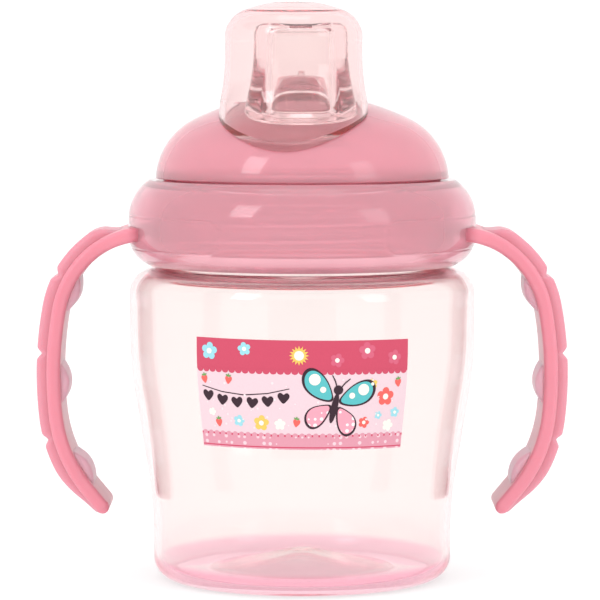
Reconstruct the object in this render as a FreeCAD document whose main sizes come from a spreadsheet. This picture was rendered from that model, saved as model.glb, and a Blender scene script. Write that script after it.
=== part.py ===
"""Two-handled training cup.

A blow-moulded beaker with a threaded neck, a screw ring that carries two open handles, a domed lid with a
soft oval spout, its valves and seal, and a clear hood over the spout.

Millimetres, +Z up. The origin is the middle of the foot, the spout side faces -Y, a handle stands on +-X."""

import FreeCAD, Part
import math
import os
import re
import Sketcher

# ---------------------------------------------------------------- driving dimensions
SIZES = [
    # general
    ("margin", 5.0, "how far a cutting shape runs past what it cuts"),
    ("play", 0.3, "smallest gap between pieces that move on each other"),
    ("snug", 0.05, "gap between pieces that are pressed together"),
    # beaker
    ("wall", 1.6, "wall of the beaker"),
    ("rim_height", 86.4, "top of the neck above the table"),
    ("neck_radius", 31.9, "outside of the neck between the threads"),
    ("shoulder_height", 71.0, "top of the shoulder, where the neck starts"),
    ("shoulder_round", 6.0, "radius of the shoulder's edge"),
    ("belly_radius", 39.3, "widest outside radius of the beaker"),
    ("belly_low", 56.0, "where the belly starts to taper"),
    ("belly_round", 79.0, "large radius between the belly and the taper"),
    ("taper_high", 44.05, "top of the straight taper"),
    ("taper_high_radius", 38.39, "outside radius there"),
    ("taper_low", 25.0, "bottom of the straight taper"),
    ("taper_low_radius", 35.3, "outside radius there"),
    ("waist_round", 95.0, "large radius between the taper and the foot"),
    ("foot_high", 10.5, "where the wall becomes upright above the foot"),
    ("foot_radius", 33.95, "outside radius of the foot"),
    ("foot_round", 5.0, "radius of the foot's edge"),
    ("floor", 1.9, "thickness of the floor"),
    ("ring_inner", 21.0, "inner radius of the ring that the cup stands on"),
    ("punt_radius", 18.0, "radius of the pushed-up middle of the floor"),
    ("punt_step", 0.9, "step up from the foot's ring to the pushed-up middle"),
    ("punt_height", 4.6, "height of the pushed-up middle of the floor"),
    ("punt_flat", 2.0, "radius of the flat at its very middle"),
    # thread
    ("pitch", 3.5, "pitch of the neck thread"),
    ("thread_start", 75.35, "height of the neck thread's first turn at +X"),
    ("thread_turns", 2.0, "turns on the neck"),
    ("ring_turns", 2.0, "turns in the screw ring"),
    ("thread_depth", 1.2, "height of both threads"),
    ("thread_root", 1.5, "width of both threads at the root"),
    ("thread_crest", 0.7, "width of both threads at the crest"),
    ("thread_sink", 0.4, "how far a thread is sunk in its wall"),
    # screw ring
    ("ring_radius", 39.5, "outside radius of the screw ring"),
    ("ring_bottom", 71.6, "lower edge of the screw ring"),
    ("ring_top", 90.9, "upper face of the screw ring"),
    ("ring_flat_low", 78.5, "bottom of the ring's upright band"),
    ("ring_flat_high", 82.0, "top of the ring's upright band"),
    ("ring_top_round", 10.8, "radius above the band"),
    ("ring_low_round", 7.5, "radius below the band"),
    ("skirt_low", 75.0, "lower end of the threaded skirt"),
    ("ring_wall", 1.7, "wall of the ring's outer skirt"),
    ("bore_radius", 33.6, "inside radius of the threaded skirt"),
    ("bore_wall", 1.1, "wall of the threaded skirt"),
    ("lip_radius", 31.6, "inside radius of the lip that holds the dome"),
    ("lip_low", 89.1, "underside of that lip"),
    # dome
    ("dome_top", 110.4, "highest point of the dome"),
    ("dome_crown", 55.0, "radius of the dome's crown"),
    ("dome_break", 24.5, "distance from the axis where the crown ends"),
    ("dome_corner", 16.0, "radius of the dome's side"),
    ("dome_low", 91.2, "lower edge of the dome"),
    ("dome_wall", 1.6, "wall of the dome"),
    ("plug_radius", 31.3, "outside of the skirt that snaps into the ring"),
    ("plug_inner", 29.4, "inside of that skirt"),
    ("snap_radius", 32.3, "outside of the snap bead under the ring's lip"),
    ("snap_high", 88.8, "top of the snap bead"),
    ("snap_low", 87.4, "underside of the dome, on the seal"),
    # seal
    ("seal_lip_inner", 28.9, "inside of the seal's plug lip"),
    ("seal_lip_outer", 30.0, "outside of the seal's plug lip"),
    ("seal_lip_low", 84.5, "lower end of the seal's plug lip"),
    ("seal_lead", 0.6, "lead-in chamfer of that lip"),
    # spout
    ("spout_shift", -0.3, "how far the spout stands to the left of the middle plane"),
    ("spout_forward", 14.5, "distance of the spout from the cup's axis, towards -Y"),
    ("seat_radius", 12.0, "boss under the dome that the spout hooks into"),
    ("seat_low", 100.0, "underside of that boss"),
    ("hole_radius", 9.5, "hole in the boss"),
    ("stem_radius", 9.3, "outside of the spout's stem"),
    ("stem_bore", 7.6, "bore of the spout's stem"),
    ("hook_radius", 11.2, "hook under the boss"),
    ("hook_depth", 1.3, "thickness of the hook"),
    ("stem_top", 111.0, "top of the stem inside the bell"),
    ("bore_top", 106.5, "top of the stem's round bore"),
    ("spout_top", 126.3, "top of the spout"),
    ("tip_skin", 1.6, "thickness of the spout's closed tip"),
    ("slit_length", 4.5, "length of the drinking slit"),
    ("slit_width", 0.5, "width of the drinking slit"),
    # valves
    ("valve_top", 105.0, "top of the anti-spill valve"),
    ("valve_skin", 1.0, "its membrane"),
    ("valve_wall", 1.2, "its wall"),
    ("valve_slit", 6.0, "length of the slit in its membrane"),
    ("vent_back", 10.0, "distance of the air vent behind the axis"),
    ("vent_head", 3.2, "radius of the vent's umbrella"),
    ("vent_stem", 0.9, "radius of the vent's stem"),
    ("vent_bulb", 1.5, "radius of the vent's retaining bulb"),
    ("vent_tip", 1.3, "height of that bulb above the crown"),
    ("vent_skin", 0.4, "thickness of the umbrella"),
    ("air_offset", 2.1, "distance of the air holes from the stem"),
    ("air_hole", 0.5, "radius of an air hole under the umbrella"),
    # hood
    ("hood_shift", -1.9, "how far the hood stands to the left of the spout"),
    ("hood_forward", 14.8, "distance of the hood from the cup's axis, towards -Y"),
    ("hood_top", 131.0, "top of the hood"),
    ("hood_foot", 94.0, "height down to which the skirt is drawn before its rim is cut to the dome"),
    ("hood_low_radius", 17.0, "outside radius there"),
    ("hood_middle", 108.5, "height where the skirt's flare ends"),
    ("hood_mid_radius", 16.5, "outside radius there"),
    ("hood_flare", 52.0, "radius of the skirt's flare"),
    ("hood_high_radius", 15.3, "outside radius below the hood's rounded top"),
    ("hood_waist", 119.5, "height where the hood's skirt becomes upright"),
    ("hood_high", 122.0, "height where the rounded top starts"),
    ("hood_corner_round", 6.6, "radius of the top's corner"),
    ("hood_corner_in", 4.6, "how far in the corner ends"),
    ("hood_corner_fall", 1.8, "how far under the top the corner ends"),
    ("hood_crown_round", 26.0, "radius of the top's crown"),
    ("hood_crown_flat", 4.5, "radius of the nearly flat middle of the top"),
    ("hood_crown_fall", 0.25, "fall of that middle to its edge"),
    ("hood_wall", 1.2, "wall of the hood"),
    ("hood_gap", 0.35, "gap between the hood's rim and the dome"),
    # handles
    ("saddle_low", 75.6, "lower edge of a handle's saddle"),
    ("saddle_high", 83.0, "upper edge of a handle's saddle"),
    ("saddle_end", 18.2, "distance of a saddle's end from the middle plane"),
    ("saddle_round", 3.0, "radius of a saddle's corners"),
    ("saddle_sink", 0.8, "how deep a saddle is let into the ring"),
    ("saddle_proud", 0.2, "how far a saddle stands proud of the ring"),
    ("arm_root", 38.6, "distance of the arm's root from the axis"),
    ("arm_height", 78.78, "height of the arm's root"),
    ("arm_thick", 3.2, "thickness of the arm's strap"),
    ("arm_width", 18.0, "width of the strap"),
    ("root_width", 30.0, "width of the strap where it leaves the saddle"),
    ("crown_height", 1.1, "height of the raised back of the strap"),
    ("crown_width", 15.0, "width of the raised back"),
    ("pad_height", 1.3, "height of a grip pad above the raised back"),
    ("pad_width", 13.0, "width of the grip pads"),
    ("bump_height", 1.8, "height of a finger bump"),
    ("bump_length", 9.0, "length of a finger bump"),
    ("bump_width", 12.0, "width of a finger bump"),
    ("window_length", 6.0, "length of the windows that join bumps and raised back"),
    ("window_width", 9.0, "width of those windows"),
    ("crown_slope", 2.5, "run of the raised back's sloping ends"),
    # print
    ("print_low", 33.1, "lower edge of the printed panel"),
    ("print_high", 57.6, "upper edge of the printed panel"),
    ("print_angle", 70.0, "angle that the panel wraps round the beaker, in degrees"),
    ("print_skin", 0.1, "thickness of the print film"),
]

doc = FreeCAD.newDocument("TrainingCup")
sheet = doc.addObject("Spreadsheet::Sheet", "Sizes")
for row, (alias, value, meaning) in enumerate(SIZES, start=1):
    sheet.set(f"A{row}", meaning)
    sheet.set(f"B{row}", str(value))
    sheet.setAlias(f"B{row}", alias)
doc.recompute()
SHEET_NAMES = {alias: "Sizes." + alias for alias, _, _ in SIZES}


def size(alias):
    """A driving dimension as a number."""
    return float(getattr(sheet, alias))


def value_of(text):
    """The number that an expression over the sheet gives."""
    return float(sheet.evalExpression(text))


def s(text):
    """Puts the sheet's name before each of its dimensions: s('wall + floor') is Sizes.wall + Sizes.floor."""
    return re.sub(r"[a-z]\w*", lambda word: SHEET_NAMES.get(word.group(), word.group()), text)


# ---------------------------------------------------------------- sketches and bodies
LEFT, RIGHT = 1, -1
SPOUT_AXIS = ("spout_shift", "0 - spout_forward")


def origin_plane(body, role):
    return next(f for f in body.Origin.OriginFeatures if f.Role == role)


def new_sketch(body, name, plane="XZ_Plane", lift=None):
    """A sketch on one of the body's origin planes, lifted along the plane's normal by an expression."""
    sketch = body.newObject("Sketcher::SketchObject", name)
    sketch.AttachmentSupport = [(origin_plane(body, plane), "")]
    sketch.MapMode = "FlatFace"
    if lift is not None:
        sketch.setExpression("AttachmentOffset.Base.z", s(lift))
    return sketch


def arc_between(start, end, radius, side):
    """The arc from start to end with its centre LEFT or RIGHT of the way, and its numbers for these ends."""
    dx, dy = end[0] - start[0], end[1] - start[1]
    chord = math.hypot(dx, dy)
    reach = math.sqrt(max(radius * radius - chord * chord / 4, 0.0))
    centre = ((start[0] + end[0]) / 2 - side * dy / chord * reach,
              (start[1] + end[1]) / 2 + side * dx / chord * reach)
    first, last = (start, end) if side == LEFT else (end, start)
    angle_a = math.atan2(first[1] - centre[1], first[0] - centre[0])
    angle_b = math.atan2(last[1] - centre[1], last[0] - centre[0])
    circle = Part.Circle(FreeCAD.Vector(*centre, 0), FreeCAD.Vector(0, 0, 1), radius)
    return Part.ArcOfCircle(circle, angle_a, angle_b), (1, 2) if side == LEFT else (2, 1)


def draw(sketch, outline):
    """Closed outline of (across, up, bend): bend is None for a straight edge to the next corner, or
    (radius, LEFT or RIGHT) for an arc. Every corner and radius is bound to the sheet."""
    corners = [(value_of(s(x)), value_of(s(y))) for x, y, _ in outline]
    ends = []
    for i, (_, _, bend) in enumerate(outline):
        start, end = corners[i], corners[(i + 1) % len(corners)]
        if bend is None:
            line = Part.LineSegment(FreeCAD.Vector(*start, 0), FreeCAD.Vector(*end, 0))
            ends.append((sketch.addGeometry(line, False), 1, 2))
        else:
            arc, (first, last) = arc_between(start, end, value_of(s(bend[0])), bend[1])
            geo = sketch.addGeometry(arc, False)
            ends.append((geo, first, last))
            number = sketch.addConstraint(Sketcher.Constraint("Radius", geo, value_of(s(bend[0]))))
            sketch.setExpression(f"Constraints[{number}]", s(bend[0]))
    for i, (geo, first, last) in enumerate(ends):
        after = ends[(i + 1) % len(ends)]
        sketch.addConstraint(Sketcher.Constraint("Coincident", geo, last, after[0], after[1]))
        for kind, text, at, axis in (("DistanceX", outline[i][0], corners[i][0], -2),
                                     ("DistanceY", outline[i][1], corners[i][1], -1)):
            if at == 0:
                sketch.addConstraint(Sketcher.Constraint("PointOnObject", geo, first, axis))
            else:
                number = sketch.addConstraint(Sketcher.Constraint(kind, -1, 1, geo, first, at))
                sketch.setExpression(f"Constraints[{number}]", s(text))
    return sketch


def revolve(label, outline, angle=None):
    """A body turned from an outline of radius and height about the upright axis."""
    body = doc.addObject("PartDesign::Body", label)
    sketch = draw(new_sketch(body, label + "_section"), outline)
    turned = body.newObject("PartDesign::Revolution", label + "_turned")
    turned.Profile = sketch
    turned.ReferenceAxis = (sketch, ["V_Axis"])
    turned.Angle = 360
    if angle is not None:
        turned.Midplane = True
        turned.setExpression("Angle", s(angle))
    sketch.Visibility = False
    doc.recompute()
    return body


def extrude(label, outline, width, plane="XZ_Plane"):
    """A body of an outline on an origin plane, padded evenly to both sides."""
    body = doc.addObject("PartDesign::Body", label)
    sketch = draw(new_sketch(body, label + "_outline", plane), outline)
    pad = body.newObject("PartDesign::Pad", label + "_pad")
    pad.Profile = sketch
    pad.Midplane = True
    pad.setExpression("Length", s(width))
    doc.recompute()
    return body


def cylinder(label, radius, low, high, x="0", y="0"):
    rod = doc.addObject("Part::Cylinder", label)
    rod.setExpression("Radius", s(radius))
    rod.setExpression("Height", s(f"({high}) - ({low})"))
    rod.setExpression("Placement.Base.x", s(x))
    rod.setExpression("Placement.Base.y", s(y))
    rod.setExpression("Placement.Base.z", s(low))
    return rod


def joined(label, *pieces):
    whole = doc.addObject("Part::MultiFuse", label)
    whole.Shapes = list(pieces)
    doc.recompute()
    return whole


def without(label, base, *tools):
    for number, tool in enumerate(tools):
        cut = doc.addObject("Part::Cut", label if tool is tools[-1] else f"{label}_cut{number}")
        cut.Base = base
        cut.Tool = tool
        doc.recompute()
        base = cut
    return base


def common(label, *pieces):
    shared = doc.addObject("Part::MultiCommon", label)
    shared.Shapes = list(pieces)
    doc.recompute()
    return shared


def helical_thread(body, wall, into, start, turns):
    """Adds a right-hand thread of trapezoid section to a wall; into is -1 for one that points inwards."""
    root = f"{wall} - {into} * thread_sink"
    crest = f"{wall} + {into} * thread_depth"
    rows = [(root, f"{start} - thread_root / 2", None), (crest, f"{start} - thread_crest / 2", None),
            (crest, f"{start} + thread_crest / 2", None), (root, f"{start} + thread_root / 2", None)]
    sketch = draw(new_sketch(body, body.Name + "_thread_section"), rows)
    thread = body.newObject("PartDesign::AdditiveHelix", body.Name + "_thread")
    thread.Profile = sketch
    thread.ReferenceAxis = (sketch, ["V_Axis"])
    thread.Mode = "pitch-turns-angle"
    thread.setExpression("Pitch", s("pitch"))
    thread.setExpression("Turns", s(turns))
    thread.LeftHanded = False
    thread.Reversed = False
    doc.recompute()
    return body


# ---------------------------------------------------------------- beaker
def beaker():
    """Neck, shoulder, belly, taper and foot with an even wall, and a floor pushed up in the middle."""
    shoulder_low = "shoulder_height - shoulder_round"
    outline = [
        ("neck_radius - wall", "rim_height", None),
        ("neck_radius", "rim_height", None),
        ("neck_radius", "shoulder_height", None),
        ("belly_radius - shoulder_round", "shoulder_height", ("shoulder_round", RIGHT)),
        ("belly_radius", shoulder_low, None),
        ("belly_radius", "belly_low", ("belly_round", RIGHT)),
        ("taper_high_radius", "taper_high", None),
        ("taper_low_radius", "taper_low", ("waist_round", LEFT)),
        ("foot_radius", "foot_high", None),
        ("foot_radius", "foot_round", ("foot_round", RIGHT)),
        ("foot_radius - foot_round", "0", None),
        ("ring_inner", "0", None),
        ("punt_radius", "punt_step", None),
        ("punt_flat", "punt_height", None),
        ("0", "punt_height", None),
        ("0", "punt_height + floor", None),
        ("punt_flat", "punt_height + floor", None),
        ("punt_radius", "punt_step + floor", None),
        ("foot_radius - foot_round", "floor", ("foot_round - floor", LEFT)),
        ("foot_radius - floor", "foot_round", None),
        ("foot_radius - wall", "foot_high", ("waist_round + wall", RIGHT)),
        ("taper_low_radius - wall", "taper_low", None),
        ("taper_high_radius - wall", "taper_high", ("belly_round - wall", LEFT)),
        ("belly_radius - wall", "belly_low", None),
        ("belly_radius - wall", shoulder_low, ("shoulder_round - wall", LEFT)),
        ("belly_radius - shoulder_round", "shoulder_height - wall", None),
        ("neck_radius - wall", "shoulder_height - wall", None),
    ]
    return helical_thread(revolve("cup_body", outline), "neck_radius", 1, "thread_start", "thread_turns")


# ---------------------------------------------------------------- screw ring
def ring_band(grow_out, grow_in, low, high, label):
    """The ring's outside between two heights as a skin, from grow_in under it to grow_out over it."""
    centre_high = "(ring_radius - ring_top_round)"
    centre_low = "(ring_radius - ring_low_round)"

    def at(grow, height, centre, middle, radius):
        return f"{centre} + sqrt(({radius} + {grow})^2 - ({height} - {middle})^2)"

    out_high = at(grow_out, high, centre_high, "ring_flat_high", "ring_top_round")
    in_high = at(f"(0 - {grow_in})", high, centre_high, "ring_flat_high", "ring_top_round")
    out_low = at(grow_out, low, centre_low, "ring_flat_low", "ring_low_round")
    in_low = at(f"(0 - {grow_in})", low, centre_low, "ring_flat_low", "ring_low_round")
    outline = [
        (out_high, high, (f"ring_top_round + {grow_out}", RIGHT)),
        (f"ring_radius + {grow_out}", "ring_flat_high", None),
        (f"ring_radius + {grow_out}", "ring_flat_low", (f"ring_low_round + {grow_out}", RIGHT)),
        (out_low, low, None),
        (in_low, low, (f"ring_low_round - {grow_in}", LEFT)),
        (f"ring_radius - {grow_in}", "ring_flat_low", None),
        (f"ring_radius - {grow_in}", "ring_flat_high", (f"ring_top_round - {grow_in}", LEFT)),
        (in_high, high, None),
    ]
    return revolve(label, outline)


def ring_core(label, sink, low, high):
    """Everything inside the ring's outside between two heights, sink under the surface."""
    centre_high = "(ring_radius - ring_top_round)"
    centre_low = "(ring_radius - ring_low_round)"
    top = f"{centre_high} + sqrt((ring_top_round - {sink})^2 - ({high} - ring_flat_high)^2)"
    foot = f"{centre_low} + sqrt((ring_low_round - {sink})^2 - ({low} - ring_flat_low)^2)"
    return revolve(label, [
        ("0", high, None),
        (top, high, (f"ring_top_round - {sink}", RIGHT)),
        (f"ring_radius - {sink}", "ring_flat_high", None),
        (f"ring_radius - {sink}", "ring_flat_low", (f"ring_low_round - {sink}", RIGHT)),
        (foot, low, None),
        ("0", low, None),
    ])


def screw_ring_blank():
    """Outer skirt with a turned-in lower lip, top lip, and a threaded inner skirt; the core is hollow."""
    centre_high = "(ring_radius - ring_top_round)"
    centre_low = "(ring_radius - ring_low_round)"
    skirt = "bore_radius + bore_wall"
    inner_high = "(ring_top_round - ring_wall)"
    inner_low = "(ring_low_round - ring_wall)"
    lip = "bore_radius + play"
    core_top = f"ring_flat_high + sqrt({inner_high}^2 - ({skirt} + play - {centre_high})^2)"
    lip_top = f"ring_flat_low - sqrt({inner_low}^2 - ({lip} - {centre_low})^2)"
    outline = [
        ("lip_radius", "ring_top", None),
        (f"{centre_high} + sqrt(ring_top_round^2 - (ring_top - ring_flat_high)^2)", "ring_top",
         ("ring_top_round", RIGHT)),
        ("ring_radius", "ring_flat_high", None),
        ("ring_radius", "ring_flat_low", ("ring_low_round", RIGHT)),
        (f"{centre_low} + sqrt(ring_low_round^2 - (ring_flat_low - ring_bottom)^2)", "ring_bottom", None),
        ("bore_radius", "ring_bottom", None),
        ("bore_radius", f"{lip_top} - play", None),
        (lip, lip_top, ("ring_low_round - ring_wall", LEFT)),
        ("ring_radius - ring_wall", "ring_flat_low", None),
        ("ring_radius - ring_wall", "ring_flat_high", ("ring_top_round - ring_wall", LEFT)),
        (f"{skirt} + play", core_top, None),
        (skirt, f"{core_top} - play", None),
        (skirt, "skirt_low", None),
        ("bore_radius", "skirt_low", None),
        ("bore_radius", "lip_low", None),
        ("lip_radius", "lip_low", None),
    ]
    blank = revolve("screw_ring_blank", outline)
    return helical_thread(blank, "bore_radius", -1, "thread_start + pitch / 2", "ring_turns")


# ---------------------------------------------------------------- handles
def saddle_tool(name, out, sink):
    """The curved plate that a handle sits on, wrapped round the left of the ring, with round ends."""
    band = ring_band(out, sink, "saddle_low", "saddle_high", name + "_band")
    far = "0 - ring_radius - margin"
    slab = extrude(name + "_slab", [
        (far, "saddle_low - margin", None),
        ("0 - saddle_end - saddle_round", "saddle_low - margin", None),
        ("0 - saddle_end - saddle_round", "saddle_low", ("saddle_round", LEFT)),
        ("0 - saddle_end", "saddle_low + saddle_round", None),
        ("0 - saddle_end", "saddle_high - saddle_round", ("saddle_round", LEFT)),
        ("0 - saddle_end - saddle_round", "saddle_high", None),
        ("0 - saddle_end - saddle_round", "saddle_high + margin", None),
        (far, "saddle_high + margin", None),
    ], "(ring_radius + margin) * 2")
    return common(name, band, slab)


# The arm's middle line leaves the saddle outwards and turns down: (radius, degrees turned) each, then a tip.
ARM_TURNS = [(21.2, 66.5), (82.0, 17.3), (31.2, 33.2)]
ARM_FIRST_HEADING = 12.7
ARM_TIP = 5.3


def arm_point(along, off):
    """Point and heading of the arm at a length along its middle line, off it towards the outside."""
    x, z, heading = -size("arm_root"), size("arm_height"), math.radians(ARM_FIRST_HEADING)
    left = along
    for radius, turned in ARM_TURNS:
        part = min(left, radius * math.radians(turned))
        after = heading + part / radius
        x -= radius * (math.sin(after) - math.sin(heading))
        z += radius * (math.cos(after) - math.cos(heading))
        heading, left = after, left - part
        if left <= 1e-9:
            break
    x -= left * math.cos(heading)
    z -= left * math.sin(heading)
    return FreeCAD.Vector(x - off * math.sin(heading), 0, z + off * math.cos(heading))


def arm_length():
    return sum(radius * math.radians(turned) for radius, turned in ARM_TURNS) + ARM_TIP


def arm_breaks(start, end):
    """Lengths along the arm from start to end, with the joins between its arcs among them."""
    joins, total = [], 0.0
    for radius, turned in ARM_TURNS:
        total += radius * math.radians(turned)
        joins.append(total)
    return [start] + [j for j in joins if start + 0.01 < j < end - 0.01] + [end]


def arm_side(start, end, off):
    """The edges parallel to the middle line between two lengths along it."""
    stops = arm_breaks(start, end)
    return [Part.Arc(arm_point(a, off), arm_point((a + b) / 2, off), arm_point(b, off)).toShape()
            if b <= sum(r * math.radians(t) for r, t in ARM_TURNS) + 0.01
            else Part.LineSegment(arm_point(a, off), arm_point(b, off)).toShape()
            for a, b in zip(stops, stops[1:])]


def arm_block(start, end, low, high, width, lead=0.0, trail=0.0):
    """A stretch of the arm from off low to off high, its ends leaning in by lead and trail."""
    edges = arm_side(start + lead, end - trail, high)
    edges += arm_side(start, end, low)
    edges += [Part.LineSegment(arm_point(start, low), arm_point(start + lead, high)).toShape(),
              Part.LineSegment(arm_point(end, low), arm_point(end - trail, high)).toShape()]
    face = Part.Face(Part.Wire(Part.__sortEdges__(edges)))
    face.translate(FreeCAD.Vector(0, -width / 2, 0))
    return face.extrude(FreeCAD.Vector(0, width, 0))


def finger_bump(middle):
    """A round swelling on the inside of the strap."""
    half, height = size("bump_length") / 2, size("bump_height")
    inner = -size("arm_thick") / 2
    a, b = arm_point(middle - half, inner), arm_point(middle + half, inner)
    top = arm_point(middle, inner - height)
    face = Part.Face(Part.Wire([Part.Arc(a, top, b).toShape(), Part.LineSegment(b, a).toShape()]))
    face.translate(FreeCAD.Vector(0, -size("bump_width") / 2, 0))
    return face.extrude(FreeCAD.Vector(0, size("bump_width"), 0))


# Each pad runs from a start to an end along the arm and has its own sloping ends: (start, end, lead, trail).
PAD_STRETCHES = [
    (4.0, 17.2, 3.0, 1.2),
    (18.9, 33.4, 1.2, 1.2),
    (37.1, 52.0, 1.2, 1.2),
    (55.9, 70.0, 1.2, 7.0),
]
BUMP_MIDDLES = [20.8, 42.0, 63.0]
RAISED_BACK = (2.6, 73.0)
ROOT_REACH = 1.2
PAD_SINK = 0.3
FLARE_REACH = 12.0


def strap_shape():
    """The strap, wider at its root, with a round tip and a window behind each finger bump."""
    half, width = size("arm_thick") / 2, size("arm_width")
    end = arm_length()
    strap = arm_block(-ROOT_REACH, end, -half, half, width)
    tip_start = arm_point(end, 0) - FreeCAD.Vector(0, width / 2, 0)
    tip = Part.makeCylinder(half, width, tip_start, FreeCAD.Vector(0, 1, 0))
    wide, narrow = size("root_width") / 2, width / 2
    inside, outside = -size("arm_root") + size("margin"), -size("arm_root") - FLARE_REACH
    corners = [(inside, -wide), (outside, -narrow), (outside, narrow), (inside, wide), (inside, -wide)]
    wedge = Part.Face(Part.makePolygon([FreeCAD.Vector(x, y, 0) for x, y in corners]))
    wedge.translate(FreeCAD.Vector(0, 0, size("arm_height") - FLARE_REACH))
    flare = arm_block(-ROOT_REACH, FLARE_REACH + size("margin"), -half, half, size("root_width"))
    flare = flare.common(wedge.extrude(FreeCAD.Vector(0, 0, FLARE_REACH * 2)))
    return strap.fuse([tip, flare]).removeSplitter().cut(window_blocks(PAD_SINK))


def window_blocks(beyond):
    """Where the soft grip passes through the strap, running beyond both of its faces."""
    half, reach = size("arm_thick") / 2 + beyond, size("window_length") / 2
    return [arm_block(m - reach, m + reach, -half, half, size("window_width")) for m in BUMP_MIDDLES]


def grip_shape():
    """Soft grip: raised back with four pads outside, finger bumps inside, joined through the windows."""
    back = size("arm_thick") / 2
    top = back + size("crown_height")
    slope = size("crown_slope")
    crown = arm_block(*RAISED_BACK, back, top, size("crown_width"), slope, slope)
    pads = [arm_block(start, end, top - PAD_SINK, top + size("pad_height"), size("pad_width"), lead, trail)
            for start, end, lead, trail in PAD_STRETCHES]
    bumps = [finger_bump(m) for m in BUMP_MIDDLES]
    return crown.fuse(pads + bumps + window_blocks(PAD_SINK)).removeSplitter()


def mirrored(name, source):
    """The same piece on the other side of the cup."""
    other = doc.addObject("Part::Mirroring", name)
    other.Source = source
    other.Normal = FreeCAD.Vector(1, 0, 0)
    return other


def handles():
    """Left and right handle with their soft grips."""
    saddle = saddle_tool("saddle", "saddle_proud", "saddle_sink")
    strap = doc.addObject("Part::Feature", "strap_blank")
    strap.Shape = strap_shape()
    ring_inside = ring_core("strap_trim", "saddle_sink / 2", "saddle_low - play", "saddle_high + play")
    trimmed = without("strap", strap, ring_inside)
    left = joined("handle_left", saddle, trimmed)
    grip = doc.addObject("Part::Feature", "grip_left")
    grip.Shape = grip_shape()
    pieces = [left, mirrored("handle_right", left), grip, mirrored("grip_right", grip)]
    doc.recompute()
    return pieces


def screw_ring():
    tool = saddle_tool("saddle_pocket", "saddle_sink", "saddle_sink")
    return without("screw_ring", screw_ring_blank(), tool, mirrored("saddle_pocket_right", tool))


# ---------------------------------------------------------------- dome, spout and valves
def crown_height_at(radius, wall):
    """Expression for the crown's height at a distance from the axis, wall under the outside."""
    return f"dome_top - dome_crown + sqrt((dome_crown - ({wall}))^2 - ({radius})^2)"


def dome_arcs(wall, low):
    """Top, end of the crown and lower end of the dome's section, wall under the outside."""
    break_r = f"dome_break * (dome_crown - ({wall})) / dome_crown"
    corner_r = "dome_break - dome_corner * dome_break / dome_crown"
    corner_z = "dome_top - dome_crown + sqrt(dome_crown^2 - dome_break^2) * (1 - dome_corner / dome_crown)"
    low_r = f"{corner_r} + sqrt((dome_corner - ({wall}))^2 - ({low} - ({corner_z}))^2)"
    return ("0", f"dome_top - ({wall})"), (break_r, crown_height_at(break_r, wall)), (low_r, low)


def dome():
    """Domed shell with a skirt that snaps into the screw ring, and a boss under it for the spout."""
    out_top, out_break, out_low = dome_arcs("0", "dome_low")
    in_top, in_break, in_low = dome_arcs("dome_wall", "dome_low + dome_wall")
    shell = revolve("dome_shell", [
        (*out_top, ("dome_crown", RIGHT)),
        (*out_break, ("dome_corner", RIGHT)),
        (*out_low, None),
        ("plug_radius", "dome_low", None),
        ("plug_radius", "snap_high", None),
        ("snap_radius", "snap_high", None),
        ("snap_radius", "snap_low", None),
        ("plug_inner", "snap_low", None),
        ("plug_inner", "dome_low - play", None),
        (*in_low, ("dome_corner - dome_wall", LEFT)),
        (*in_break, ("dome_crown - dome_wall", LEFT)),
        (*in_top, None),
    ])
    rod = cylinder("seat_rod", "seat_radius", "seat_low", "dome_top", *SPOUT_AXIS)
    boss = common("seat_boss", rod, dome_core("dome_solid", "snug"))
    hole = cylinder("seat_hole", "hole_radius", "seat_low - margin", "dome_top + margin", *SPOUT_AXIS)
    air = [vent_rod("air_hole_left", "air_hole", "0 - air_offset"),
           vent_rod("air_hole_right", "air_hole", "air_offset")]
    stem = vent_rod("vent_hole", "vent_stem + snug", "0")
    return without("dome_lid", joined("dome_blank", shell, boss), hole, stem, *air)


def dome_core(label, wall):
    """Everything under the dome's outside, wall under it, down to its lower edge."""
    top, turn, low = dome_arcs(wall, "dome_low")
    return revolve(label, [
        (*top, (f"dome_crown - ({wall})", RIGHT)),
        (*turn, (f"dome_corner - ({wall})", RIGHT)),
        (*low, None),
        ("0", "dome_low", None),
    ])


def vent_placement():
    """From upright at the crown to the vent's place behind the axis, square to the crown."""
    lean = math.degrees(math.asin(size("vent_back") / size("dome_crown")))
    centre = FreeCAD.Vector(0, 0, size("dome_top") - size("dome_crown"))
    tilt = FreeCAD.Rotation(FreeCAD.Vector(1, 0, 0), -lean)
    return FreeCAD.Placement(FreeCAD.Vector(0, 0, 0), tilt, centre)


def vent_rod(label, radius, across):
    """A rod through the crown at the vent, moved across from its axis."""
    rod = doc.addObject("Part::Cylinder", label)
    rod.setExpression("Radius", s(radius))
    rod.setExpression("Height", s("margin * 2"))
    start = FreeCAD.Vector(value_of(s(across)), 0, size("dome_top") - size("margin"))
    rod.Placement = vent_placement().multiply(FreeCAD.Placement(start, FreeCAD.Rotation()))
    return rod


def vent_valve():
    """Silicone umbrella under the crown on a stem with a retaining bulb outside."""
    under = "dome_top - dome_wall - snug * 3"
    body = revolve("vent_valve", [
        ("0", "dome_top + vent_tip", None),
        ("vent_bulb / 2", "dome_top + vent_tip", None),
        ("vent_bulb", "dome_top + vent_tip / 2", None),
        ("vent_bulb", "dome_top + snug * 2", None),
        ("vent_stem", "dome_top + snug * 2", None),
        ("vent_stem", under, None),
        ("vent_head", under, None),
        ("vent_head", f"{under} - vent_skin", None),
        ("vent_stem", f"{under} - vent_skin * 3", None),
        ("0", f"{under} - vent_skin * 3", None),
    ])
    body.Placement = vent_placement()
    return body


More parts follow.
